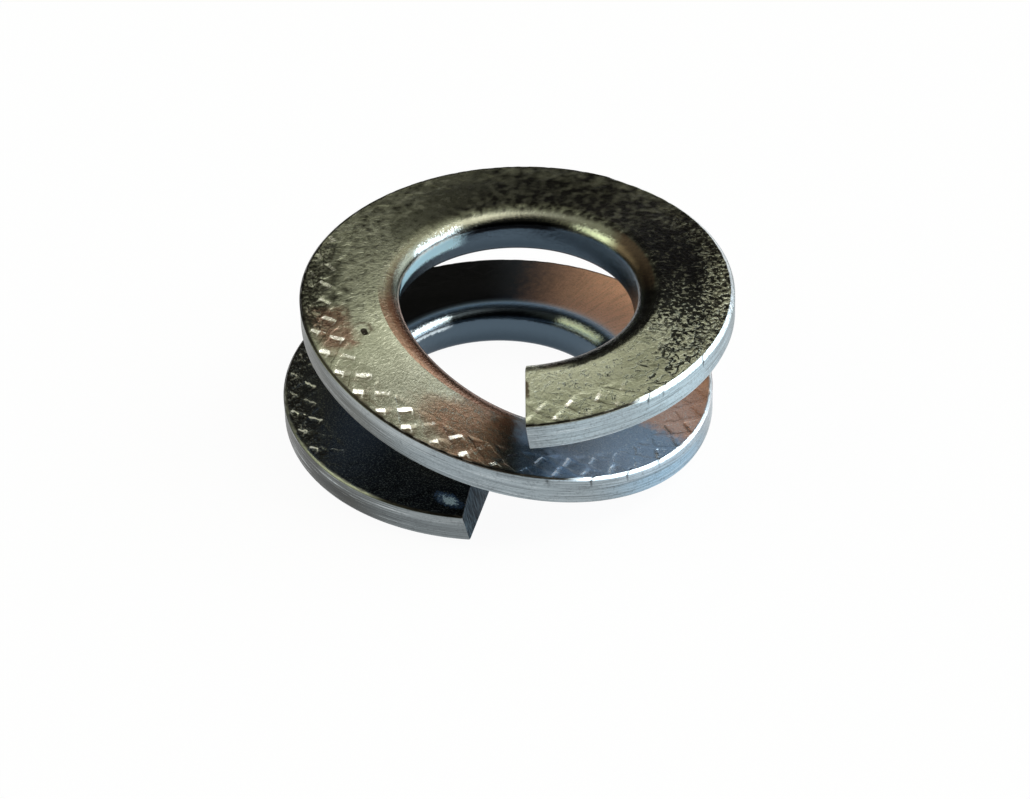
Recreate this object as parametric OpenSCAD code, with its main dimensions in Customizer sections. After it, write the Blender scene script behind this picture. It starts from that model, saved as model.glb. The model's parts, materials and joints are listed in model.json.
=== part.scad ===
// Double coil spring washer: one steel strip wound edgewise into two flat coils joined by a ramp.
// The ramp is centred on -Y, the washer rests on Z = 0 and a bolt passes upwards through the bore.

/* [Coil] */
// Outside diameter of each coil
outer_d = 22.6; // [20:0.1:28]
// Diameter of the bore
bore_d = 12.2; // [10:0.1:14]
// Height from one coil to the other, middle to middle
coil_lift = 6.2; // [4:0.1:9]
// Angle over which the strip drops from the upper coil to the lower one
ramp_sweep = 174; // [120:2:240]
// Angle from the middle of the ramp to each cut end
end_sweep = 354.5; // [300:0.5:358]
// Lean of the coils' shared axis to the right
lean = 10.7; // [0:0.1:14]
// Drop of the upper coil at its free end
tip_dip = 0.3; // [0:0.05:0.8]

/* [Strip] */
// Thickness of the strip at its outer edge
outer_t = 1.55; // [1:0.05:2.2]
// Thickness of the strip at its inner edge, where winding has thickened it
inner_t = 2.2; // [1.6:0.05:2.8]
// Radius on the corners of the outer edge
corner_r = 0.22; // [0.05:0.01:0.4]
// Run of the long rounding on the upper inner edge
nose_run = 1.15; // [0.6:0.05:1.6]
// Drop of that rounding, down to the wall of the bore
nose_drop = 0.75; // [0.4:0.05:1]
// Radius on the lower inner edge
foot_r = 0.3; // [0.1:0.05:0.5]

/* [Cut ends] */
// Slope of the sheared upper end
upper_slant = 7; // [0:1:25]
// Slope of the sheared lower end
lower_slant = 13; // [0:1:25]
// Turn of both cuts from the radius, seen from above
end_skew = 3.3; // [0:0.1:12]

/* [Hidden] */
outer_r = outer_d / 2;
bore_r = bore_d / 2;
ramp_half = ramp_sweep / 2;
// The lower coil rests on its thick inner edge
mid_z = (inner_t + coil_lift) / 2;
// Overrun of the bore's drill, and the skin that it trims off the inner edge
overrun = 1;
bore_trim = 0.03;
// Widest angle between two sections of the strip, and the facets round each of its edges
section_step = 5;
corner_facets = 2;
nose_facets = 7;
foot_facets = 3;
degrees_per_radian = 180 / PI;

// Direction of a section, u degrees along the strip from the middle of the ramp
function heading(u) = u - 90;

// Height of the strip's middle at u
function strip_z(u) =
    let (ramp = max(-1, min(1, u / ramp_half)),
         to_tip = max(0, (-u - ramp_half) / (end_sweep - ramp_half)))
    mid_z - coil_lift / 2 * sin(90 * ramp) - tip_dip * to_tip * to_tip;

// Climb of the strip at u, for each radian turned
function strip_climb(u) =
    (strip_z(u + section_step) - strip_z(u - section_step)) / (2 * section_step) * degrees_per_radian;

// Distance from the leaning axis to the bore wall, measured level
function bore_reach(u) = bore_r / norm([cos(heading(u)) * cos(lean), sin(heading(u))]);

// Drift of that wall for each unit of height
function bore_drift(u) = tan(lean) * cos(heading(u));

// Keystone section of the strip as [radius, height above its middle], with the inner edge at the bore wall
function section(reach, drift) = concat(
    [for (i = [0 : corner_facets])
        let (a = 90 - 90 * i / corner_facets)
        [outer_r - corner_r + corner_r * cos(a), outer_t / 2 - corner_r + corner_r * sin(a)]],
    [for (i = [0 : corner_facets])
        let (a = -90 * i / corner_facets)
        [outer_r - corner_r + corner_r * cos(a), corner_r - outer_t / 2 + corner_r * sin(a)]],
    [for (i = [0 : foot_facets])
        let (a = -90 - 90 * i / foot_facets,
             h = foot_r - inner_t / 2 + foot_r * sin(a))
        [reach + drift * h + foot_r + (foot_r + bore_trim) * cos(a), h]],
    [for (i = [0 : nose_facets])
        let (a = 180 - 90 * i / nose_facets,
             h = inner_t / 2 - nose_drop + nose_drop * sin(a))
        [reach + drift * h + nose_run + (nose_run + bore_trim) * cos(a), h]]
);

// Angle by which a section's point [radius, height] leads its station, as the ends are cut
function cut_lead(u, p) =
    let (slant = (upper_slant + lower_slant + (lower_slant - upper_slant) * u / end_sweep) / 2)
    ((outer_r - p[0]) * tan(end_skew) - p[1] * tan(slant)) / p[0] * degrees_per_radian;

// A section's point placed on the coil, square to the climbing strip
function coil_point(u, p) =
    let (v = u + cut_lead(u, p),
         z = strip_z(v),
         x = tan(lean) * (z - mid_z))
    [x + p[0] * cos(heading(v)), p[0] * sin(heading(v)), z + p[1] * norm([1, strip_climb(v) / p[0]])];

// The whole strip, swept from the upper end to the lower one
module strip() {
    spans = ceil(2 * end_sweep / section_step);
    stations = [for (i = [0 : spans]) end_sweep * (2 * i / spans - 1)];
    rings = [for (u = stations) [for (p = section(bore_reach(u), bore_drift(u))) coil_point(u, p)]];
    sides = len(rings[0]);
    last = len(rings) - 1;
    walls = [
        for (i = [0 : last - 1], j = [0 : sides - 1])
            let (a = i * sides + j, b = i * sides + (j + 1) % sides)
            each [[a, b, b + sides], [a, b + sides, a + sides]]
    ];
    upper_end = [for (j = [sides - 1 : -1 : 0]) j];
    lower_end = [for (j = [0 : sides - 1]) last * sides + j];
    polyhedron([for (ring = rings) each ring], concat(walls, [upper_end, lower_end]));
}

// Drill that trims the bore to a true round hole on the leaning axis, its seam at the back of the coils
module bore_drill() {
    length = 2 * (mid_z + overrun) / cos(lean) + bore_d * tan(lean);
    translate([0, 0, mid_z])
        rotate([0, lean, 0])
            rotate([0, 0, 90])
                cylinder(d = bore_d, h = length, center = true, $fn = 96);
}

module spring_washer() {
    color("darkkhaki") difference() {
        strip();
        bore_drill();
    }
}

spring_washer();
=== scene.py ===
import json
import math

import bpy
import numpy as np
from mathutils import Matrix, Vector


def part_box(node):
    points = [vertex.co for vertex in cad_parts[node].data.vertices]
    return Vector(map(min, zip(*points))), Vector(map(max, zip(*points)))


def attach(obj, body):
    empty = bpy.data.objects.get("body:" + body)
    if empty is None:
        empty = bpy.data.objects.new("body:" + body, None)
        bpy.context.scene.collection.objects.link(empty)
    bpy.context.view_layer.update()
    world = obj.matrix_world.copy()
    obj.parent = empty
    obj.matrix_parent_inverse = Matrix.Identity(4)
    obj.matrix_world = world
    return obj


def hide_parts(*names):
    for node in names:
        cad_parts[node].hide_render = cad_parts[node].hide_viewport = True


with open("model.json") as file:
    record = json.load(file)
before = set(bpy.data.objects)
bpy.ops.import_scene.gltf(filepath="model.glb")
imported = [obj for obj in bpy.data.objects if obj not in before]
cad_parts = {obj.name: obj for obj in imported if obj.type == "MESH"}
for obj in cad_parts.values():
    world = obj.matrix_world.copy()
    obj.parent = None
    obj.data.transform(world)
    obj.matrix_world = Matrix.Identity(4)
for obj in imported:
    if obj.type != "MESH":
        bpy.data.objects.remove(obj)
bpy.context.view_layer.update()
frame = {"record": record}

# The wound strip
# Spring steel rolled to a keystone section and wound edgewise, left-handed, a little under two turns.
# Both coils lie flat and a ramp over the front half turn joins them. Winding thickens the inner edge.
mm = 0.001
bore = frame["record"]["mounts"][0]
outer_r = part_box("spring_washer")[1].y
free_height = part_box("spring_washer")[1].z
bore_r = bore["dims"]["r_mm"] * mm
lean = math.atan2(bore["axis"][0], bore["axis"][2])
outer_t = 1.55 * mm
inner_t = 2.2 * mm
corner_r = 0.22 * mm
nose_run = 1.15 * mm
nose_drop = 0.75 * mm
foot_r = 0.3 * mm
coil_lift = free_height - inner_t
mid_z = free_height / 2
ramp_half = 87
end_sweep = 354.5
tip_dip = 0.3 * mm
upper_slant = math.tan(math.radians(7))
lower_slant = math.tan(math.radians(13))
end_skew = math.tan(math.radians(3.3))


def strip_z(turned):
    """Height of the strip's middle, in degrees from the middle of the ramp."""
    ramp = np.clip(turned / ramp_half, -1, 1)
    to_tip = np.maximum(0, (-turned - ramp_half) / (end_sweep - ramp_half))
    return mid_z - coil_lift / 2 * np.sin(ramp * math.pi / 2) - tip_dip * to_tip**2


def strip_climb(turned):
    """Climb for each radian turned."""
    step = 5
    return (strip_z(turned + step) - strip_z(turned - step)) / math.radians(2 * step)


def inner_reach(turned, height):
    """Level distance from the coil's middle to the leaning bore's wall, at a height above the middle."""
    heading = np.radians(turned - 90)
    reach = bore_r / np.hypot(np.cos(heading) * math.cos(lean), np.sin(heading))
    return reach + height * math.tan(lean) * np.cos(heading)


# The section's outline runs from the top face's outer edge in over the face, down the bore, out under the
# strip and up the outer wall. Cells are small where the feed marks lie.
face_w = outer_r - corner_r - bore_r - nose_run
under_w = outer_r - corner_r - bore_r - foot_r
mark_w = 1.75 * mm
half_t = inner_t / 2
face_tilt = math.atan2(half_t - outer_t / 2, face_w)


def outline_part(zone, radius, reach_share, height, normal_r, normal_h):
    """One stretch of the outline. A point's radius is its own plus its share of the inner reach."""
    values = np.broadcast_arrays(zone, radius, reach_share, height, normal_r, normal_h)
    return np.array(values, dtype=float)


def face_part(zone, insets, width, run, side):
    """A face of the strip, from inset 0 at the outer corner to its inner edge, run out from the bore."""
    share = insets / width
    radius = (1 - share) * (outer_r - corner_r) + share * run
    height = side * ((1 - share) * outer_t + share * inner_t) / 2
    return outline_part(zone, radius, share, height, math.sin(face_tilt), side * math.cos(face_tilt))


def round_part(zone, cells, start, middle_r, reach_share, middle_h, run, rise):
    """A quarter of an ellipse from an angle, about a middle."""
    angle = np.linspace(start, start + math.pi / 2, cells, endpoint=False)
    normal_r = np.cos(angle) * rise
    normal_h = np.sin(angle) * run
    long = np.hypot(normal_r, normal_h)
    radius = middle_r + run * np.cos(angle)
    height = middle_h + rise * np.sin(angle)
    return outline_part(zone, radius, reach_share, height, normal_r / long, normal_h / long)


def wall_part(zone, cells, radius, reach_share, start, stop, normal_r):
    """An upright stretch between two heights."""
    height = np.linspace(start, stop, cells, endpoint=False)
    return outline_part(zone, radius, reach_share, height, normal_r, 0.0)


TOP, NOSE, BORE, FOOT, UNDER, LOW_CORNER, WALL, TOP_CORNER = range(8)
mark_cells = 24
plain_cells = 11
nose_cells = 9
bore_cells = 2
foot_cells = 3
under_cells = 3
under_edge_cells = 6
low_corner_cells = 2
wall_cells = 3
top_corner_cells = 4
corner_middle = outer_r - corner_r
corner_h = outer_t / 2 - corner_r
low_start = math.pi * 3 / 2
mark_insets = np.linspace(0, mark_w, mark_cells, endpoint=False)
plain_insets = np.linspace(mark_w, face_w, plain_cells, endpoint=False)
under_plain = np.linspace(under_w, mark_w, under_cells, endpoint=False)
under_edge = np.linspace(mark_w, 0, under_edge_cells, endpoint=False)
under_insets = np.concatenate([under_plain, under_edge])
outline = np.concatenate([
    face_part(TOP, mark_insets, face_w, nose_run, 1),
    face_part(TOP, plain_insets, face_w, nose_run, 1),
    round_part(NOSE, nose_cells, math.pi / 2, nose_run, 1.0, half_t - nose_drop, nose_run, nose_drop),
    wall_part(BORE, bore_cells, 0.0, 1.0, half_t - nose_drop, foot_r - half_t, -1.0),
    round_part(FOOT, foot_cells, math.pi, foot_r, 1.0, foot_r - half_t, foot_r, foot_r),
    face_part(UNDER, under_insets, under_w, foot_r, -1),
    round_part(LOW_CORNER, low_corner_cells, low_start, corner_middle, 0.0, -corner_h, corner_r, corner_r),
    wall_part(WALL, wall_cells, outer_r, 0.0, -corner_h, corner_h, 1.0),
    round_part(TOP_CORNER, top_corner_cells, 0, corner_middle, 0.0, corner_h, corner_r, corner_r),
], axis=1)
columns = outline.shape[1]
stations = 1440

# A flat grid stands for the strip before winding. Its length runs along the strip, and its width goes
# round the section.
bpy.ops.object.select_all(action="DESELECT")
bpy.ops.mesh.primitive_grid_add(x_subdivisions=stations, y_subdivisions=columns, size=1)
washer = bpy.context.object
washer.name = "wound_spring_washer"
mesh = washer.data
flat = np.empty(len(mesh.vertices) * 3)
mesh.vertices.foreach_get("co", flat)
turned = end_sweep * 2 * flat[0::3]
row = np.rint((flat[1::3] + 0.5) * columns).astype(int)
zone, base_r, reach_share, height, normal_r, normal_h = outline[:, row % columns]
radius = base_r + reach_share * inner_reach(turned, height)
along = turned + end_sweep
inset = np.maximum(outer_r - radius, 0)
arc = np.radians(along) * radius


def waves(first, second, seed, count=7):
    """Smooth unevenness about 0 over two lengths, each about one wave long at 1."""
    draw = np.random.default_rng(seed)
    total = np.zeros_like(first)
    for turn, size, phase in draw.uniform((0, 0.5, 0), (2 * math.pi, 1.5, 2 * math.pi), (count, 3)):
        total += np.sin(2 * math.pi * size * (first * math.cos(turn) + second * math.sin(turn)) + phase)
    return total / count**0.5


def smooth(value, low, high):
    """0 below low, 1 above high, smooth between."""
    share = np.clip((value - low) / (high - low), 0, 1)
    return share * share * (3 - 2 * share)


def region(*spans):
    """1 in each span (start, stop, softness) of degrees along the strip, and 0 elsewhere."""
    total = 0
    for start, stop, soft in spans:
        begun = smooth(along, start - soft, start + soft)
        ended = smooth(along, stop - soft, stop + soft)
        total = total + begun * (1 - ended)
    return total


def by_region(base, *parts):
    """A share of base everywhere, plus a share more in each part (share, start, stop, softness)."""
    return base + sum(share * region(span) for share, *span in parts)


# The top outer corner is rolled to a flat, wide at the right and narrow elsewhere
wide_corner = 0.2 * mm
narrow_corner = 0.1 * mm
right_side = region((31, 150, 3), (377, 480, 4))
widened = right_side * by_region(1, (-0.5, 360, 500, 5))
corner_size = narrow_corner + (wide_corner - narrow_corner) * widened
corner_turn = np.arctan2(normal_h, normal_r) / (math.pi / 2)
last_corner_turn = 1 - 1 / top_corner_cells
up_corner = corner_turn / last_corner_turn
on_corner = zone == TOP_CORNER
radius = np.where(on_corner, outer_r - corner_size * up_corner, radius)
height = np.where(on_corner, outer_t / 2 - corner_size * (1 - up_corner), height)

# Feed marks
# The feed rolls that push the strip into the winder bite diamonds into its top, along the outer edge.
# Each diamond has a steep wall along one side and a floor that rises gently to the other.
mark_pitch = 8.65
mark_slant = 5.5 / mm
mark_start = 4.75
mark_counter = -0.1
mark_depth = 0.062 * mm
mark_reach = 1.6 * mm
mark_fade = 0.3 * mm
steep_share = 0.18
floor_end = 0.9
near_wall = 0.1
far_wall = 0.45
wander_by = 0.3
wander_length = 2.5 * mm
wander_width = 2 * mm
weakest = 0.3
strongest = 1.1
mark_kinds = 120
wander = wander_by * waves(arc / wander_length, inset / wander_width, seed=3)
slash = (along - mark_slant * inset + wander - mark_start) / mark_pitch
counter = (along + mark_slant * inset - wander - mark_counter) / mark_pitch
strengths = np.random.default_rng(seed=21).uniform(weakest, strongest, (mark_kinds, mark_kinds))
slash_number = np.floor(slash).astype(int) % mark_kinds
counter_number = np.floor(counter).astype(int) % mark_kinds
own_strength = strengths[slash_number, counter_number]
bitten = by_region(
    0.25,
    (0.65, -20, 30, 6),
    (0.7, 240, 425, 8),
    (0.95, 592, 664, 8),
    (0.25, 425, 480, 10),
)
bite = bitten * own_strength * (1 - smooth(inset, mark_reach, mark_reach + mark_fade)) * (zone == TOP)
back_phase = slash % 1
fore_phase = counter % 1
floor_rise = np.clip((floor_end - back_phase) / (floor_end - steep_share), 0, 1)
steep_wall = np.minimum(back_phase / steep_share, floor_rise)
side_walls = np.clip(np.minimum(fore_phase / near_wall, (1 - fore_phase) / far_wall), 0, 1)
mark = bite * steep_wall * side_walls
push = -mark_depth * mark

# Crushed ridges across the outer edge, where the strip was gripped hardest
ridge_pitch = 2.2
ridge_depth = 0.014 * mm
ridge_reach = 1.1 * mm
ridge_slant = 0.7 * mark_slant
ridge_wander = 0.5
crushed = region((55, 125, 10), (245, 285, 10), (590, 660, 14))
ridge_turn = (along + ridge_slant * inset) / ridge_pitch
ridge_turn = ridge_turn + ridge_wander * waves(arc / mm, inset / mm, seed=8)
ridge_fade = 1 - smooth(inset, 0.7 * ridge_reach, 1.3 * ridge_reach)
ridges = np.sin(2 * math.pi * ridge_turn) * crushed * ridge_fade
push += ridge_depth * ridges * (zone == TOP)

# A pit in the upper face, longer than wide and slanted, with a curved scratch beside it
pit_along = 290.8
pit_inset = 2.82 * mm
pit_r = 0.17 * mm
pit_depth = 0.05 * mm
pit_long = 0.7
pit_slanted = 0.5
pit_narrow = 1.2
beside = np.radians(along - pit_along) * radius
below = inset - pit_inset
pit_gap = np.hypot(pit_long * beside + pit_slanted * below, pit_narrow * below)
pit = (1 - smooth(pit_gap, 0.4 * pit_r, 1.3 * pit_r)) * (zone == TOP)
push -= pit_depth * pit
scratch_r = 0.48 * mm
scratch_beside = 0.15 * mm
scratch_below = 0.1 * mm
scratch_core = 0.02 * mm
scratch_half = 0.1 * mm
scratch_start = -0.1 * mm
scratch_full = 0.2 * mm
scratch_gap = np.abs(np.hypot(beside + scratch_beside, below + scratch_below) - scratch_r)
scratch = 1 - smooth(scratch_gap, scratch_core, scratch_half)
scratch = scratch * smooth(below - 0.5 * beside, scratch_start, scratch_full) * (zone == TOP)

# Nicks across the top corner, and an edge and faces that are not quite true after winding
nick_places = (33.5, 38.6, 54.6, 77, 369, 381, 392.5, 404)
nick_half = 0.32
nick_core = 0.3 * nick_half
nick_lean = 8 / mm
nick_reach = 0.3 * mm
nick_depth = 0.05 * mm
ragged_length = 0.7 * mm
ragged_from = 0.6
ragged_depth = 0.02 * mm
wave_length = 4 * mm
wave_width = 3 * mm
wave_depth = 0.01 * mm
mean_r = (outer_r + bore_r) / 2
nick_line = along + nick_lean * (radius - outer_r)
nick = sum(1 - smooth(np.abs(nick_line - place), nick_core, nick_half) for place in nick_places)
nick = nick * (on_corner | (zone == TOP) & (inset < nick_reach))
ragged_edge = on_corner & (corner_turn > ragged_from)
ragged = np.maximum(waves(arc / ragged_length, 0 * arc, seed=14), 0) * ragged_edge
push -= nick_depth * nick + ragged_depth * ragged
wavy = waves(np.radians(along) * mean_r / wave_length, radius / wave_width, seed=11)
push += wave_depth * wavy * np.isin(zone, (TOP, WALL))
radius = radius + push * normal_r
height = height + push * normal_h

# Winding the marked strip: the section shears with its height, as the ends are cut, and climbs with
# the ramp
slant = (upper_slant + lower_slant + (lower_slant - upper_slant) * turned / end_sweep) / 2
sheared = turned + np.degrees(((outer_r - radius) * end_skew - height * slant) / radius)
heading = np.radians(sheared - 90)
middle = strip_z(sheared)
side_step = math.tan(lean) * (middle - mid_z)
square_up = np.hypot(1, strip_climb(sheared) / radius)
wound = np.stack([
    side_step + radius * np.cos(heading),
    radius * np.sin(heading),
    middle + height * square_up,
], axis=1)
mesh.vertices.foreach_set("co", wound.ravel())

# Lengths along the strip and round its section, in millimetres, for patterns that follow the strip
outline_r = outline[1] + outline[2] * bore_r
steps = np.hypot(np.diff(outline_r, append=outline_r[:1]), np.diff(outline[3], append=outline[3, :1]))
girth = np.concatenate([[0], np.cumsum(steps)])
lengths = np.radians(along) * mean_r / mm
rounds = girth[row] / mm
corner_vertex = np.empty(len(mesh.loops), dtype=int)
mesh.loops.foreach_get("vertex_index", corner_vertex)
strip_map = mesh.uv_layers.active
strip_map.name = "strip"
strip_map.uv.foreach_set("vector", np.stack([lengths, rounds], axis=1)[corner_vertex].ravel())

# What the plating has to know of each place. The turn over the inner edge is 0 at the top face, 1 where
# the bore's wall starts, 2 at its foot and 3 under the strip.
wall_edge = 0.1
on_wall = np.isin(zone, (LOW_CORNER, WALL))
on_nose = zone == NOSE
in_bore = np.isin(zone, (BORE, FOOT))
nose_turn = np.arctan2(-normal_r, normal_h) / (math.pi / 2)
wall_down = 1 + (half_t - nose_drop - height) / (inner_t - nose_drop - foot_r)
past_nose = np.where(zone == BORE, wall_down, 0) + 2 * (zone == FOOT) + 3 * (zone == UNDER)
roughened = by_region(
    0.2,
    (0.8, 50, 140, 18),
    (0.25, 285, 350, 8),
    (0.3, -20, 30, 16),
    (0.5, 225, 288, 10),
    (-0.17, 470, 610, 10),
)
places = {
    "along": along,
    "inset": inset / mm,
    "slash": slash,
    "counter": counter,
    "bite": bite,
    "mark": mark,
    "ridge": ridges,
    "pit": pit,
    "scratch": scratch,
    "nick": nick,
    "wall": on_wall | on_corner & (up_corner < wall_edge),
    "corner": on_corner & (up_corner > wall_edge),
    "right": right_side,
    "nose": np.where(on_nose, smooth(-normal_r, 0.05, 0.3), in_bore),
    "bore": np.where(on_nose, smooth(-normal_r, 0.86, 0.97), in_bore),
    "turn": np.where(on_nose, nose_turn, past_nose),
    "high": height / mm,
    "under": zone == UNDER,
    "rough": roughened,
}
for name, values in places.items():
    layer_data = mesh.attributes.new(name, "FLOAT", "POINT").data
    layer_data.foreach_set("value", np.asarray(values, dtype=np.float32))

# The seam is welded, the sheared ends are closed and their edges broken. The ends are the only faces with
# more than four corners.
weld_gap = 0.001 * mm
broken_edge = 0.035 * mm
crease = math.radians(36)
bpy.ops.object.mode_set(mode="EDIT")
bpy.ops.mesh.select_all(action="SELECT")
bpy.ops.mesh.remove_doubles(threshold=weld_gap)
bpy.ops.mesh.select_mode(type="EDGE")
bpy.ops.mesh.select_all(action="DESELECT")
bpy.ops.mesh.select_non_manifold(
    extend=False,
    use_wire=False,
    use_multi_face=False,
    use_non_contiguous=False,
)
bpy.ops.mesh.fill_holes(sides=0)
bpy.ops.mesh.select_mode(type="FACE")
bpy.ops.mesh.select_all(action="DESELECT")
bpy.ops.object.mode_set(mode="OBJECT")
for polygon in mesh.polygons:
    polygon.select = polygon.loop_total > 4
bpy.ops.object.mode_set(mode="EDIT")
bpy.ops.mesh.bevel(offset=broken_edge, segments=2, affect="EDGES")
bpy.ops.mesh.select_all(action="SELECT")
bpy.ops.mesh.normals_make_consistent(inside=False)
bpy.ops.object.mode_set(mode="OBJECT")
bpy.ops.object.shade_smooth_by_angle(angle=crease)
cut = mesh.attributes.new("cut", "FLOAT", "FACE")
cut.data.foreach_set("value", [float(polygon.loop_total > 4) for polygon in mesh.polygons])

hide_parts("spring_washer")
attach(washer, "root")


# The plating
# Zinc about ten microns thick, passivated to a faint olive that turns copper, slate or brown where the
# film differs. It keeps the drawn lines of the outer wall, and it is worn satin on the faces.
class Wire:
    """A socket of a node tree. Arithmetic on it adds Math nodes, and node() adds any other."""

    def __init__(self, tree, socket=None):
        self.tree = tree
        self.socket = socket

    def node(self, kind, settings=None, sockets=None, out=0):
        made = self.tree.nodes.new(kind)
        for name, value in (settings or {}).items():
            if name == "stops":
                while len(made.color_ramp.elements) < len(value):
                    made.color_ramp.elements.new(1)
                for element, (place, colour) in zip(made.color_ramp.elements, value):
                    element.position = place
                    element.color = (*colour, 1)
            else:
                setattr(made, name, value)
        for key, value in (sockets or {}).items():
            if isinstance(value, Wire):
                self.tree.links.new(value.socket, made.inputs[key])
            else:
                made.inputs[key].default_value = value
        return Wire(self.tree, made.outputs[out] if made.outputs else None)

    def maths(self, operation, first, second=0.0):
        return self.node("ShaderNodeMath", {"operation": operation}, {0: first, 1: second})

    def __add__(self, other):
        return self.maths("ADD", self, other)

    def __radd__(self, other):
        return self.maths("ADD", other, self)

    def __sub__(self, other):
        return self.maths("SUBTRACT", self, other)

    def __rsub__(self, other):
        return self.maths("SUBTRACT", other, self)

    def __mul__(self, other):
        return self.maths("MULTIPLY", self, other)

    def __rmul__(self, other):
        return self.maths("MULTIPLY", other, self)

    def __abs__(self):
        return self.maths("ABSOLUTE", self)

    def step(self, low, high):
        """0 below low, 1 above high, smooth between. With low above high it falls."""
        ease = {"interpolation_type": "SMOOTHSTEP"}
        if low > high:
            return 1 - self.step(high, low)
        return self.node("ShaderNodeMapRange", ease, {0: self, 1: low, 2: high})

    def between(self, low, high, soft):
        """1 between low and high, with soft edges."""
        return self.step(low - soft, low + soft) * self.step(high + soft, high - soft)

    def mixed(self, first, second):
        """Two colours mixed by this factor."""
        first = first if isinstance(first, Wire) else (*first, 1)
        second = second if isinstance(second, Wire) else (*second, 1)
        return self.node("ShaderNodeMix", {"data_type": "RGBA"}, {0: self, 6: first, 7: second}, out=2)


plating = bpy.data.materials.new("zinc_plating")
plating.use_nodes = True
tree = plating.node_tree
tree.nodes.clear()
new = Wire(tree).node


def layer(name):
    """What the mesh knows of a place, by name."""
    return new("ShaderNodeAttribute", {"attribute_name": name}, out=2)


strip_place = new("ShaderNodeUVMap", {"uv_map": "strip"})
along_at = layer("along")
inset_at = layer("inset")
nose_at = layer("nose")
bore_at = layer("bore")
wall_at = layer("wall")
corner_at = layer("corner")
cut_at = layer("cut")
rough_at = layer("rough")
bite_at = layer("bite")
under_at = layer("under")
turn_at = layer("turn")
ridge_at = layer("ridge")
face_at = (1 - wall_at) * (1 - corner_at) * (1 - nose_at) * (1 - under_at)
rim = inset_at.step(2.0, 0.5)


def noise(by_length, by_width, detail=3, roughness=0.55, distortion=0.0):
    """A pattern over the strip's own millimetres, scaled along it and across it."""
    multiply = {"operation": "MULTIPLY"}
    scaled = new("ShaderNodeVectorMath", multiply, {0: strip_place, 1: (by_length, by_width, 1)})
    kind = {"Detail": detail, "Roughness": roughness, "Distortion": distortion}
    return new("ShaderNodeTexNoise", {}, {"Vector": scaled, "Scale": 1.0, **kind})


mottle = noise(0.7, 0.9, detail=5)
blotch = noise(2.2, 2.2, detail=4, roughness=0.65)
cloud = noise(2.0, 1.7, detail=1)
grain = noise(9, 9, detail=3, roughness=0.6)
scales = noise(4.6, 3.6, detail=4, roughness=0.62, distortion=0.6)
fine = noise(16, 16, detail=2)
radial = noise(5, 0.5, detail=3)
drawn = noise(0.25, 11, detail=4, roughness=0.75)
scored = noise(0.16, 6, detail=2)
cracks = noise(1.6, 1.6, detail=4, roughness=0.6, distortion=1.2)
blotchy = blotch - 0.5
grainy = grain - 0.5
cloudy = cloud - 0.5
uneven = 0.7 * grainy + 0.5 * blotchy


# Places along the strip are in degrees from its upper end, and insets in millimetres from its outer edge
def span(start, stop, soft, fray=0):
    """1 between two places along the strip. Blotches fray its ends by some degrees."""
    place = along_at + fray * blotchy if fray else along_at
    return place.between(start, stop, soft)


def past(start, full, fray=0):
    """Rises from 0 to 1 between two places along the strip, or falls where full comes before start."""
    place = along_at + fray * blotchy if fray else along_at
    return place.step(start, full)


def edge_patch(along_span, along_fray, turn_span, turn_fray):
    """A patch of the inner edge, by spans (start, stop, softness) along the strip and over the edge."""
    lengthwise = (along_at + along_fray * uneven).between(*along_span)
    return lengthwise * (turn_at + turn_fray * uneven).between(*turn_span)


def coated(under, colour, where, share=1.0):
    """A film with a share of another colour over it in one place."""
    return (share * where).mixed(under, colour)


# Strokes of bare zinc down the steep walls: partly burnish where the rolls' teeth dragged, partly a
# painted highlight for the glint off each wall. Narrow and faint on the lower coil
wide_stroke = steep_share + 0.02
low_narrowing = 0.09
short_stroke = 0.48
inner_lengthening = 0.29
front_shortening = 0.2
slash_phase = new("ShaderNodeMath", {"operation": "FRACT"}, {0: layer("slash")})
counter_phase = new("ShaderNodeMath", {"operation": "FRACT"}, {0: layer("counter")})
lower_coil = past(356, 362)
stroke_width = wide_stroke - low_narrowing * lower_coil
stroke_end = short_stroke + inner_lengthening * inset_at.step(0.75, 0.95)
stroke_end = stroke_end - front_shortening * past(32, 24)
stroke = slash_phase.step(0, 0.03) * (stroke_width - slash_phase).step(0, 0.03)
stroke = stroke * counter_phase.step(0, 0.05) * (stroke_end - counter_phase).step(0, 0.06)
hook = (stroke_end - counter_phase).between(0.02, 0.1, 0.03)
hook = hook * slash_phase.step(0, 0.04) * slash_phase.step(0.5, 0.3)
worn = (bite_at + 0.5 * grainy + 0.5 * blotchy).step(0.35, 0.75) * face_at
stroke = (stroke + 0.6 * hook) * worn * (1 - 0.4 * span(240, 290, soft=6))

# The film on the upper coil: olive and straw, with painted shade round the back and dark at the left
olive = (0.44, 0.455, 0.345)
straw = (0.60, 0.62, 0.49)
pale_straw = (0.74, 0.76, 0.62)
grey_olive = (0.17, 0.17, 0.145)
soot = (0.03, 0.027, 0.022)
back_shade_colour = (0.010, 0.009, 0.008)
film = mottle.step(0.35, 0.68).mixed(olive, straw)
film = coated(film, pale_straw, past(48, 20) * inset_at.step(1.6, 3.2))
film = coated(film, pale_straw, span(240, 290, soft=14) * inset_at.step(1.0, 3.4), share=0.5)
left_dark = span(252, 286, soft=8, fray=12) * inset_at.step(2.9, 0.8)
film = coated(film, soot, left_dark, share=0.85)
# Painted shade round the back of the upper coil, mottled, lighter near the outer edge
back_shade_start = along_at + 40 * (mottle - 0.5) + 16 * inset_at.step(1.1, 2.2)
back_shade_stop = along_at - 12 * inset_at.step(1.5, 2.8)
painted_back_shade = back_shade_start.step(84, 112) * back_shade_stop.step(244, 180)
back_shade_share = 0.93 - 0.22 * rim - 0.05 * past(135, 162) - 0.12 * past(162, 188)
back_shade_share = back_shade_share + (1.3 + 0.5 * rim) * cloudy + blotchy
film = coated(film, back_shade_colour, painted_back_shade * back_shade_share * turn_at.step(0.42, 0.1))
film = coated(film, grey_olive, past(284, 322), share=0.75)
film = coated(film, grey_olive, span(262, 290, soft=8) * inset_at.between(2.1, 3.2, 0.3), share=0.3)
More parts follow.
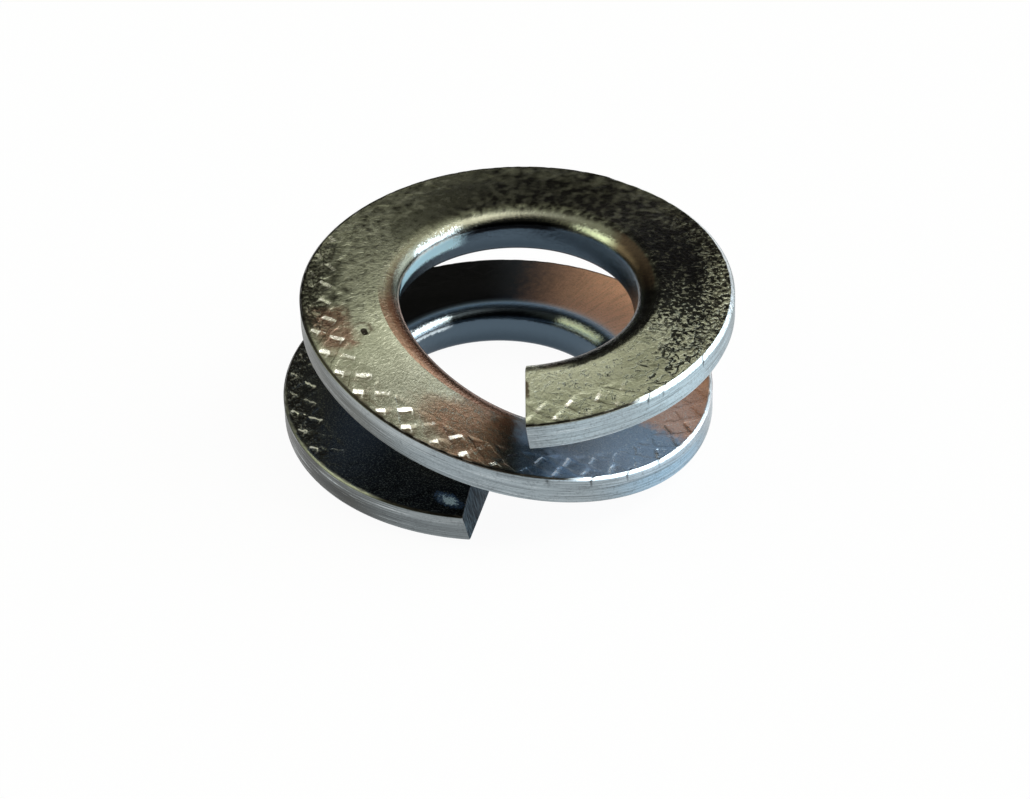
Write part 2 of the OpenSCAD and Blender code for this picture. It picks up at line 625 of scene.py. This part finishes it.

# On the ramp: copper, patchy and smudgy, that gives way to slate, with painted shade under the upper end
copper = (0.15, 0.088, 0.057)
rust_pink = (0.27, 0.16, 0.12)
slate = (0.42, 0.52, 0.62)
smudge_and_shade = (0.05, 0.058, 0.06)
copper_start = along_at + 10 * inset_at.between(1.3, 3.3, 0.5) + 20 * blotchy + 10 * grainy
copper_stop = along_at + 20 * blotchy - 8 * inset_at.step(2, 3.2)
ramp_copper = copper_start.step(330, 344) * copper_stop.step(366, 357)
film = coated(film, copper, ramp_copper, share=0.95)
film = coated(film, smudge_and_shade, ramp_copper * (2.5 * grainy + 4 * blotchy))
film = coated(film, rust_pink, ramp_copper * (-2.0 * grainy - 3 * blotchy))
left_pink = span(276, 295, soft=3, fray=10) * (inset_at + blotchy).between(0.5, 2.3, 0.4)
film = coated(film, rust_pink, left_pink, share=0.9)
film = coated(film, slate, span(361, 421, soft=3, fray=8))
# Painted shade on the ramp, under the overhanging upper end
shade_under_upper_end = (along_at + 16 * blotchy - 2 * inset_at).between(352, 368, 5) * inset_at.step(3.0, 2.1)
film = coated(film, smudge_and_shade, shade_under_upper_end, share=0.85)

# On the lower coil: bright copper at the right with a few scratches before it, then ink and black
bright_copper = (1.0, 0.56, 0.36)
fresh_copper = (1.0, 0.58, 0.40)
brown = (0.10, 0.065, 0.045)
ink = (0.035, 0.04, 0.05)
black = (0.006, 0.006, 0.007)
bare_zinc = (0.95, 0.94, 0.88)
low_copper = span(419, 545, soft=5, fray=12)
film = coated(film, bright_copper, low_copper, share=0.95)
film = coated(film, fresh_copper, low_copper * past(452, 436), share=0.9)
film = coated(film, brown, low_copper * radial.step(0.56, 0.36) * past(446, 470), share=0.15)
scratched = abs(cracks - 0.52).step(0.017, 0.005) * span(376, 440, soft=8) * grain.step(0.44, 0.54)
film = coated(film, bare_zinc, scratched, share=0.6)
film = coated(film, ink, past(498, 534, fray=14))
film = coated(film, black, span(536, 588, soft=8))
film = coated(film, black, past(662, 684, fray=14))

# A painted highlight beside the lower end, with a dim painted halo
end_glint_along = 703.8
end_glint_inset = 1.15
end_glint_lean = 0.06
per_degree = 0.3
per_inset = 3.2
painted_halo_blue = (0.14, 0.22, 0.33)
painted_glint_white = (0.8, 0.95, 1.0)
from_glint = along_at - end_glint_along
glint_along = from_glint * per_degree
glint_inset = (inset_at - end_glint_inset + end_glint_lean * from_glint) * per_inset
glint_gap = glint_along * glint_along + glint_inset * glint_inset + 5 * grainy + 4 * blotchy
painted_end_glint = glint_gap.step(1.0, 0.2)
film = coated(film, painted_halo_blue, glint_gap.step(2.6, 0.8), share=0.7)
film = coated(film, painted_glint_white, painted_end_glint)

# Brown tarnish in the marks at the front, and a painted brown shadow beside each stroke
film = coated(film, brown, layer("mark") * span(296, 352, soft=6), share=0.45)
tarnish = (blotch + 0.6 * grainy).step(0.46, 0.6) * span(298, 345, soft=8) * rim
film = coated(film, brown, tarnish, share=0.5)
# A painted shadow line beside each stroke
stroke_shadow = slash_phase.between(0.24, 0.32, 0.03) * counter_phase.between(0.05, 0.7, 0.05)
stroke_shadow = stroke_shadow * bite_at.step(0.3, 0.6) * span(290, 356, soft=6)
film = coated(film, brown, stroke_shadow, share=0.55)

# The inner edge: dull cream where it rounds over, copper on the ramp, painted dark at the right, painted
# slate shade down the bore, and painted highlights where it turns to the light
cream = (0.165, 0.165, 0.125)
low_edge = (0.30, 0.37, 0.41)
low_line = (0.03, 0.037, 0.042)
wall_slate = (0.075, 0.108, 0.14)
bore_foot_shade = (0.03, 0.045, 0.06)
edge_pink = (0.30, 0.165, 0.115)
# Pale film colours for painted highlights round the inner edge
painted_white_highlight = (0.62, 0.68, 0.68)
painted_blue_highlight = (0.58, 0.88, 1.0)
painted_low_highlight = (0.62, 0.72, 0.78)
painted_green_highlight = (0.58, 0.62, 0.50)
painted_edge_highlights = (
    (painted_white_highlight, (206, 234, 4), 16, (0.4, 0.95, 0.08), 1.0),
    (painted_blue_highlight, (204, 256, 5), 12, (0.82, 1.5, 0.12), 0.5),
    (painted_green_highlight, (120, 148, 3), 12, (0.4, 0.8, 0.08), 0.6),
    (painted_low_highlight, (561, 586, 3), 10, (0.3, 0.95, 0.08), 0.6),
    (painted_green_highlight, (480, 506, 3), 10, (0.35, 0.8, 0.08), 0.6),
)
film = coated(film, cream, turn_at.step(0.05, 0.4) * span(60, 280, soft=20))
# The lower coil's inner edge, painted dark as shade under the upper coil: a slate band, a black band, then
# the slate wall
low_edge_shade = (turn_at + 0.1 * uneven).step(0.16, 0.32).mixed(low_edge, low_line)
low_edge_shade = (turn_at + 0.2 * uneven).step(0.5, 0.8).mixed(low_edge_shade, wall_slate)
film = coated(film, low_edge_shade, nose_at * lower_coil)
# Painted shade down the bore: dark slate, darker towards the foot
film = coated(film, wall_slate, bore_at)
film = coated(film, bore_foot_shade, bore_at * (turn_at + 0.4 * uneven).step(1.25, 2.0), share=0.6)
# A painted dark reflection band at the back of the inner edge
film = coated(film, black, edge_patch((157, 199, 4), 8, (0.6, 1.05, 0.06), 0.15), share=0.95)
# Painted highlights where the inner edge turns to the light
for colour, *patch in painted_edge_highlights:
    film = coated(film, colour, edge_patch(*patch))
edge_copper = span(272, 361, soft=8) * (inset_at + 0.15 * uneven).step(4.05, 4.1)
edge_brown = (span(6, 20, soft=4) + span(82, 126, soft=6)) * inset_at.step(4.05, 4.25)
# A painted dark reflection on the inner rim at the right
edge_dark_reflection = span(17, 84, soft=5, fray=10) * (inset_at + 0.5 * uneven).step(3.70, 3.84)
# A brown border at the upper end
end_border = (along_at + 3 * uneven).step(1.8, 0.8) * inset_at.between(2.1, 3.4, 0.2)
film = coated(film, edge_pink, edge_copper * (1 - bore_at), share=0.9)
film = coated(film, brown, edge_brown * (1 - bore_at), share=0.9)
film = coated(film, black, edge_dark_reflection, share=0.95)
film = coated(film, brown, end_border, share=0.9)

# Scale, cracks and grain on the faces
ridge_highlight = (0.4, 0.4, 0.37)
scaly = (along_at + 10 * inset_at.between(1.2, 2.3, 0.3) + 6 * inset_at.step(3, 4)).between(56, 130, 12)
gap_level = 0.42 + past(44, 78) * (0.15 - 0.09 * rim)
scale_gap = (scales - gap_level).step(0.035, -0.035) * scaly
crack_line = abs(cracks - 0.5).step(0.022, 0.008) * blotch.step(0.45, 0.55) * span(3, 75, soft=6)
crackle = abs(cracks - 0.47).step(0.08, 0.05) * mottle.step(0.44, 0.5) * span(36, 64, soft=5)
crack_line = crack_line + crackle * inset_at.between(0.3, 2.3, 0.2)
blotched = 0.4 + 1.6 * span(60, 290, soft=12) + 2.0 * span(205, 285, soft=12)
tone = 1.3 * (fine - 0.5) + 1.3 * grainy + blotchy * blotched
speckled = face_at * (1 - 0.75 * painted_back_shade) * (1 - span(512, 590, soft=8))
film = coated(film, soot, -0.9 * tone * face_at)
film = coated(film, straw, tone * speckled, share=0.6)
left_mottle = span(196, 280, soft=12) * face_at * inset_at.step(4.2, 1.6)
left_tone = 0.9 * cloudy + 0.35 * (scales - 0.5)
film = coated(film, soot, -4.0 * (left_tone + 0.01) * left_mottle)
film = coated(film, pale_straw, 5.0 * (left_tone - 0.02) * left_mottle)
film = coated(film, black, scale_gap * face_at, share=0.96)
film = coated(film, black, crack_line * face_at, share=0.9)
film = coated(film, soot, ridge_at.step(0.1, -0.5) * ridge_at.step(-0.05, -0.2), share=0.8)
# Painted highlights on the crests of the crushed ridges of the lower coil
ridge_crest_highlight = ridge_at.step(0.45, 0.8) * grain.step(0.42, 0.55)
film = coated(film, ridge_highlight, ridge_crest_highlight * span(596, 660, soft=8), share=0.8)
film = coated(film, bare_zinc, stroke * (1 - 0.45 * lower_coil))
film = coated(film, brown, layer("scratch"), share=0.8)
film = coated(film, soot, layer("pit").step(0.05, 0.3))
# Painted highlights: specks of bare zinc for glints off tiny dimples
dimple_glint = grainy.step(0.19, 0.23) * span(286, 322, soft=6) * inset_at.between(2.2, 4.0, 0.3)
film = coated(film, bare_zinc, dimple_glint, share=0.8)

# The outer wall: drawn lines and scores, with painted light and shade along it, brighter at the front and
# right and shaded beyond
wall_dull = (0.19, 0.20, 0.19)
wall_grey = (0.36, 0.42, 0.45)
wall_front = (0.46, 0.56, 0.61)
wall_bright = (0.58, 0.74, 0.82)
wall_shaded = (0.33, 0.39, 0.41)
wall_blue = (0.38, 0.58, 0.74)
wall_pale = (0.55, 0.62, 0.66)
wall_low = (0.085, 0.088, 0.082)
wall_line = (0.06, 0.065, 0.07)
wall_top = (0.66, 0.72, 0.74)
wall_scratch = (0.75, 0.8, 0.82)
wall_stretches = (
    (wall_front, 6, 110, 6),
    (wall_bright, 33, 60, 8),
    (wall_shaded, 74, 110, 6),
    (wall_blue, 392, 426, 14),
    (wall_pale, 432, 500, 8),
)
wall_left = span(235, 325, soft=16)
wall_film = wall_left.mixed(wall_grey, wall_dull)
for colour, *stretch in wall_stretches:
    wall_film = coated(wall_film, colour, span(*stretch))
wall_film = coated(wall_film, wall_low, past(575, 590) * (1 - 0.45 * past(672, 696)))
# Painted highlights along the wall's upper edge, fainter near the lower end
top_light = span(300, 336, soft=8) + span(386, 428, soft=8) + span(662, 720, soft=6)
top_light = 0.4 * top_light - 0.22 * past(600, 650)
wall_film = coated(wall_film, wall_top, top_light * layer("high").step(0.05, 0.35))
lined = 0.6 + 0.35 * span(610, 690, soft=10)
wall_film = coated(wall_film, wall_line, drawn.step(0.54, 0.34) * lined)
wall_film = coated(wall_film, wall_scratch, drawn.step(0.55, 0.68) * (lined - 0.1))
wall_film = coated(wall_film, wall_line, scored.step(0.38, 0.30) * (0.35 + 0.5 * wall_left))
wall_film = coated(wall_film, wall_line, -1.6 * grainy - 1.2 * blotchy)
film = coated(film, wall_film, wall_at)

# The top outer corner: a painted highlight where it is wide, dark where it is narrow and a dimmer painted
# highlight on the lower coil's left, with dark nicks
corner_highlight = (0.80, 0.86, 0.88)
corner_dim_highlight = (0.26, 0.265, 0.23)
corner_film = layer("right").mixed(soot, corner_highlight)
corner_film = coated(corner_film, corner_dim_highlight, span(628, 684, soft=4))
film = coated(film, corner_film, corner_at)
film = coated(film, soot, layer("nick"), share=0.95)

# The underside, plain zinc with a little of the same blotches
under_zinc = (0.44, 0.56, 0.70)
under_dull = (0.32, 0.41, 0.50)
under_film = coated(under_zinc, under_dull, blotch.step(0.35, 0.65), share=0.5)
film = coated(film, under_film, under_at)

# The sheared ends, streaked down the cut
cut_dark = (0.03, 0.04, 0.05)
cut_pale = (0.11, 0.15, 0.18)
streak_scale = (7000, 7000, 700)
object_place = new("ShaderNodeTexCoord", out=3)
down = new("ShaderNodeVectorMath", {"operation": "MULTIPLY"}, {0: object_place, 1: streak_scale})
streaks = new("ShaderNodeTexNoise", {}, {"Vector": down, "Scale": 1.0, "Detail": 3.0})
cut_film = streaks.step(0.35, 0.65).mixed(cut_dark, cut_pale)
film = coated(film, cut_film, cut_at)

# Satin on the faces, smoother on the rounded edge and the strokes, duller on the wall, the ends and the
# part of the lower coil that shows through the bore
plain_satin = 0.24
through_bore = span(470, 610, soft=10) * (1 - nose_at)
satin = plain_satin + 0.12 * blotch - 0.1 * nose_at + 0.12 * wall_at + 0.1 * cut_at
satin = satin - 0.06 * stroke + 0.2 * through_bore

# Fine relief
relief_depth = 0.012 * mm
stroke_fall = slash_phase.step(0, 0.2) * bite_at * counter_phase.between(0.03, 0.78, 0.03)
relief = scales * rough_at * face_at * 6.0 + grain * (0.6 + 0.6 * rough_at) + fine * face_at * 0.5
relief = relief + (blotch + scales) * (1.2 * nose_at)
relief = relief + drawn * wall_at * 0.9 + streaks * cut_at - stroke_fall * face_at * 1.2 - crack_line
bumped = new("ShaderNodeBump", {}, {"Strength": 1.0, "Distance": relief_depth, "Height": relief})

# The film is partly matt at the painted highlights beside the lower end and on the left of the bore, so
# that they catch diffuse light, and the sheared ends are mostly so
matt_film = 0.95
matt_ends = 0.8
matt_highlight = 0.6 * painted_end_glint + edge_patch((204, 256, 5), 12, (0.72, 1.5, 0.12), 0.5)
steel = new(
    "ShaderNodeBsdfPrincipled",
    {},
    {"Base Color": film, "Metallic": 1 - matt_film * matt_highlight, "Roughness": satin, "Normal": bumped},
)
torn = new("ShaderNodeBsdfDiffuse", {}, {"Color": cut_film, "Normal": bumped})
sheared_steel = new("ShaderNodeMixShader", {}, {0: cut_at * matt_ends, 1: steel, 2: torn})
new("ShaderNodeOutputMaterial", {}, {"Surface": sheared_steel})
mesh.materials.clear()
mesh.materials.append(plating)

# The studio
# A white table in a dim room: a pale ceiling behind the washer, a tall window and a skylight at the
# right, a fainter window at the left. The camera's side is dark. The table keeps a soft shadow.
world = bpy.data.worlds.new("studio")
bpy.context.scene.world = world
world.use_nodes = True
tree = world.node_tree
tree.nodes.clear()
new = Wire(tree).node
direction = new("ShaderNodeTexCoord")
level = new("ShaderNodeSeparateXYZ", {}, {0: direction}).socket.node.outputs
east = Wire(tree, level[0])
north = Wire(tree, level[1])
up = Wire(tree, level[2])
degree = 180 / math.pi
zenith = 90
elevation = new("ShaderNodeMath", {"operation": "ARCSINE"}, {0: up}) * degree
azimuth = new("ShaderNodeMath", {"operation": "ARCTAN2"}, {0: east, 1: north}) * degree

heights = [
    (0, (0.20, 0.21, 0.23)),
    (6, (0.045, 0.043, 0.04)),
    (30, (0.035, 0.032, 0.027)),
    (36, (0.14, 0.125, 0.094)),
    (42, (0.45, 0.45, 0.34)),
    (48, (0.68, 0.69, 0.54)),
    (63, (0.72, 0.735, 0.60)),
    (76, (0.95, 0.96, 0.90)),
    (90, (1.00, 1.00, 1.00)),
]
stops = [(height / zenith, colour) for height, colour in heights]
room = new("ShaderNodeValToRGB", {"stops": stops}, {0: elevation * (1 / zenith)})


def panel(behind, azimuths, elevations, soft, colour):
    """A soft lit or dark field of the room, as azimuths from +Y to the right and elevations."""
    field = azimuth.between(*azimuths, soft) * elevation.between(*elevations, soft)
    return field.mixed(behind, colour)


def lamp(behind, bearing, rise, radius, soft, colour):
    """A round light about a direction."""
    level_part = math.cos(math.radians(rise))
    towards = (
        level_part * math.sin(math.radians(bearing)),
        level_part * math.cos(math.radians(bearing)),
        math.sin(math.radians(rise)),
    )
    facing = new("ShaderNodeVectorMath", {"operation": "DOT_PRODUCT"}, {0: direction, 1: towards}, out=1)
    edge = math.cos(math.radians(radius + soft))
    full = math.cos(math.radians(radius - soft))
    return facing.step(edge, full).mixed(behind, colour)


copper_wall = (0.34, 0.22, 0.155)
dark_post = (0.09, 0.085, 0.07)
right_window = (3.0, 3.4, 3.7)
left_window = (1.7, 1.8, 1.3)
dark_side = (0.015, 0.015, 0.018)
skylight = (3.4, 3.35, 3.1)
room = panel(room, azimuths=(12, 46), elevations=(26, 43), soft=5, colour=copper_wall)
room = panel(room, azimuths=(4, 11), elevations=(33, 43), soft=3, colour=dark_post)
room = panel(room, azimuths=(43, 114), elevations=(12, 44), soft=4, colour=right_window)
room = panel(room, azimuths=(-115, -62), elevations=(18, 46), soft=4, colour=left_window)
room = (abs(azimuth).step(122, 140) * elevation.between(12, 82, 3)).mixed(room, dark_side)
room = lamp(room, bearing=88, rise=68, radius=20, soft=4, colour=skylight)
backdrop = new("ShaderNodeBackground", {}, {"Color": room, "Strength": 1.0})
new("ShaderNodeOutputWorld", {}, {"Surface": backdrop})

table_size = 3
table_grey = (0.9, 0.9, 0.9, 1)
white = (1, 1, 1, 1)
glow_share = 0.95
bpy.ops.object.select_all(action="DESELECT")
bpy.ops.mesh.primitive_plane_add(size=table_size)
table = bpy.context.object
table.name = "white_table"
table_white = bpy.data.materials.new("table_white")
table_white.use_nodes = True
tree = table_white.node_tree
tree.nodes.clear()
new = Wire(tree).node
rays = new("ShaderNodeLightPath").socket.node.outputs
shown = Wire(tree, rays["Is Camera Ray"]) + Wire(tree, rays["Is Glossy Ray"])
shown = shown + Wire(tree, rays["Is Transmission Ray"])
matt = new("ShaderNodeBsdfDiffuse", {}, {"Color": table_grey})
glow = new("ShaderNodeEmission", {}, {"Color": white, "Strength": 1.0})
surface = new("ShaderNodeMixShader", {}, {0: shown * glow_share, 1: matt, 2: glow})
new("ShaderNodeOutputMaterial", {}, {"Surface": surface})
table.data.materials.append(table_white)

# The camera
# It looks down on the front of the ramp, a little from the right, through a long lens.
camera_data = bpy.data.cameras.new("camera")
camera = bpy.data.objects.new("camera", camera_data)
bpy.context.collection.objects.link(camera)
bpy.context.scene.camera = camera
look_at = Vector((0.42, -1.99, 2.35)) * mm
distance = 236.27 * mm
look_down = math.radians(37.38)
look_left = math.radians(3.82)
roll = math.radians(1.8)
photo_width = 1030
focal_pixels = 4523.6
forward = Vector((
    -math.sin(look_left) * math.cos(look_down),
    math.cos(look_left) * math.cos(look_down),
    -math.sin(look_down),
))
level_right = Vector((math.cos(look_left), math.sin(look_left), 0))
level_up = level_right.cross(forward)
right = math.cos(roll) * level_right - math.sin(roll) * level_up
upward = math.sin(roll) * level_right + math.cos(roll) * level_up
axes = Matrix((right, upward, -forward)).transposed()
camera.matrix_world = Matrix.Translation(look_at - distance * forward) @ axes.to_4x4()
camera_data.sensor_fit = "HORIZONTAL"
camera_data.sensor_width = 36
camera_data.lens = camera_data.sensor_width * focal_pixels / photo_width
camera_data.clip_start = 0.01

bpy.context.scene.view_settings.view_transform = "Standard"
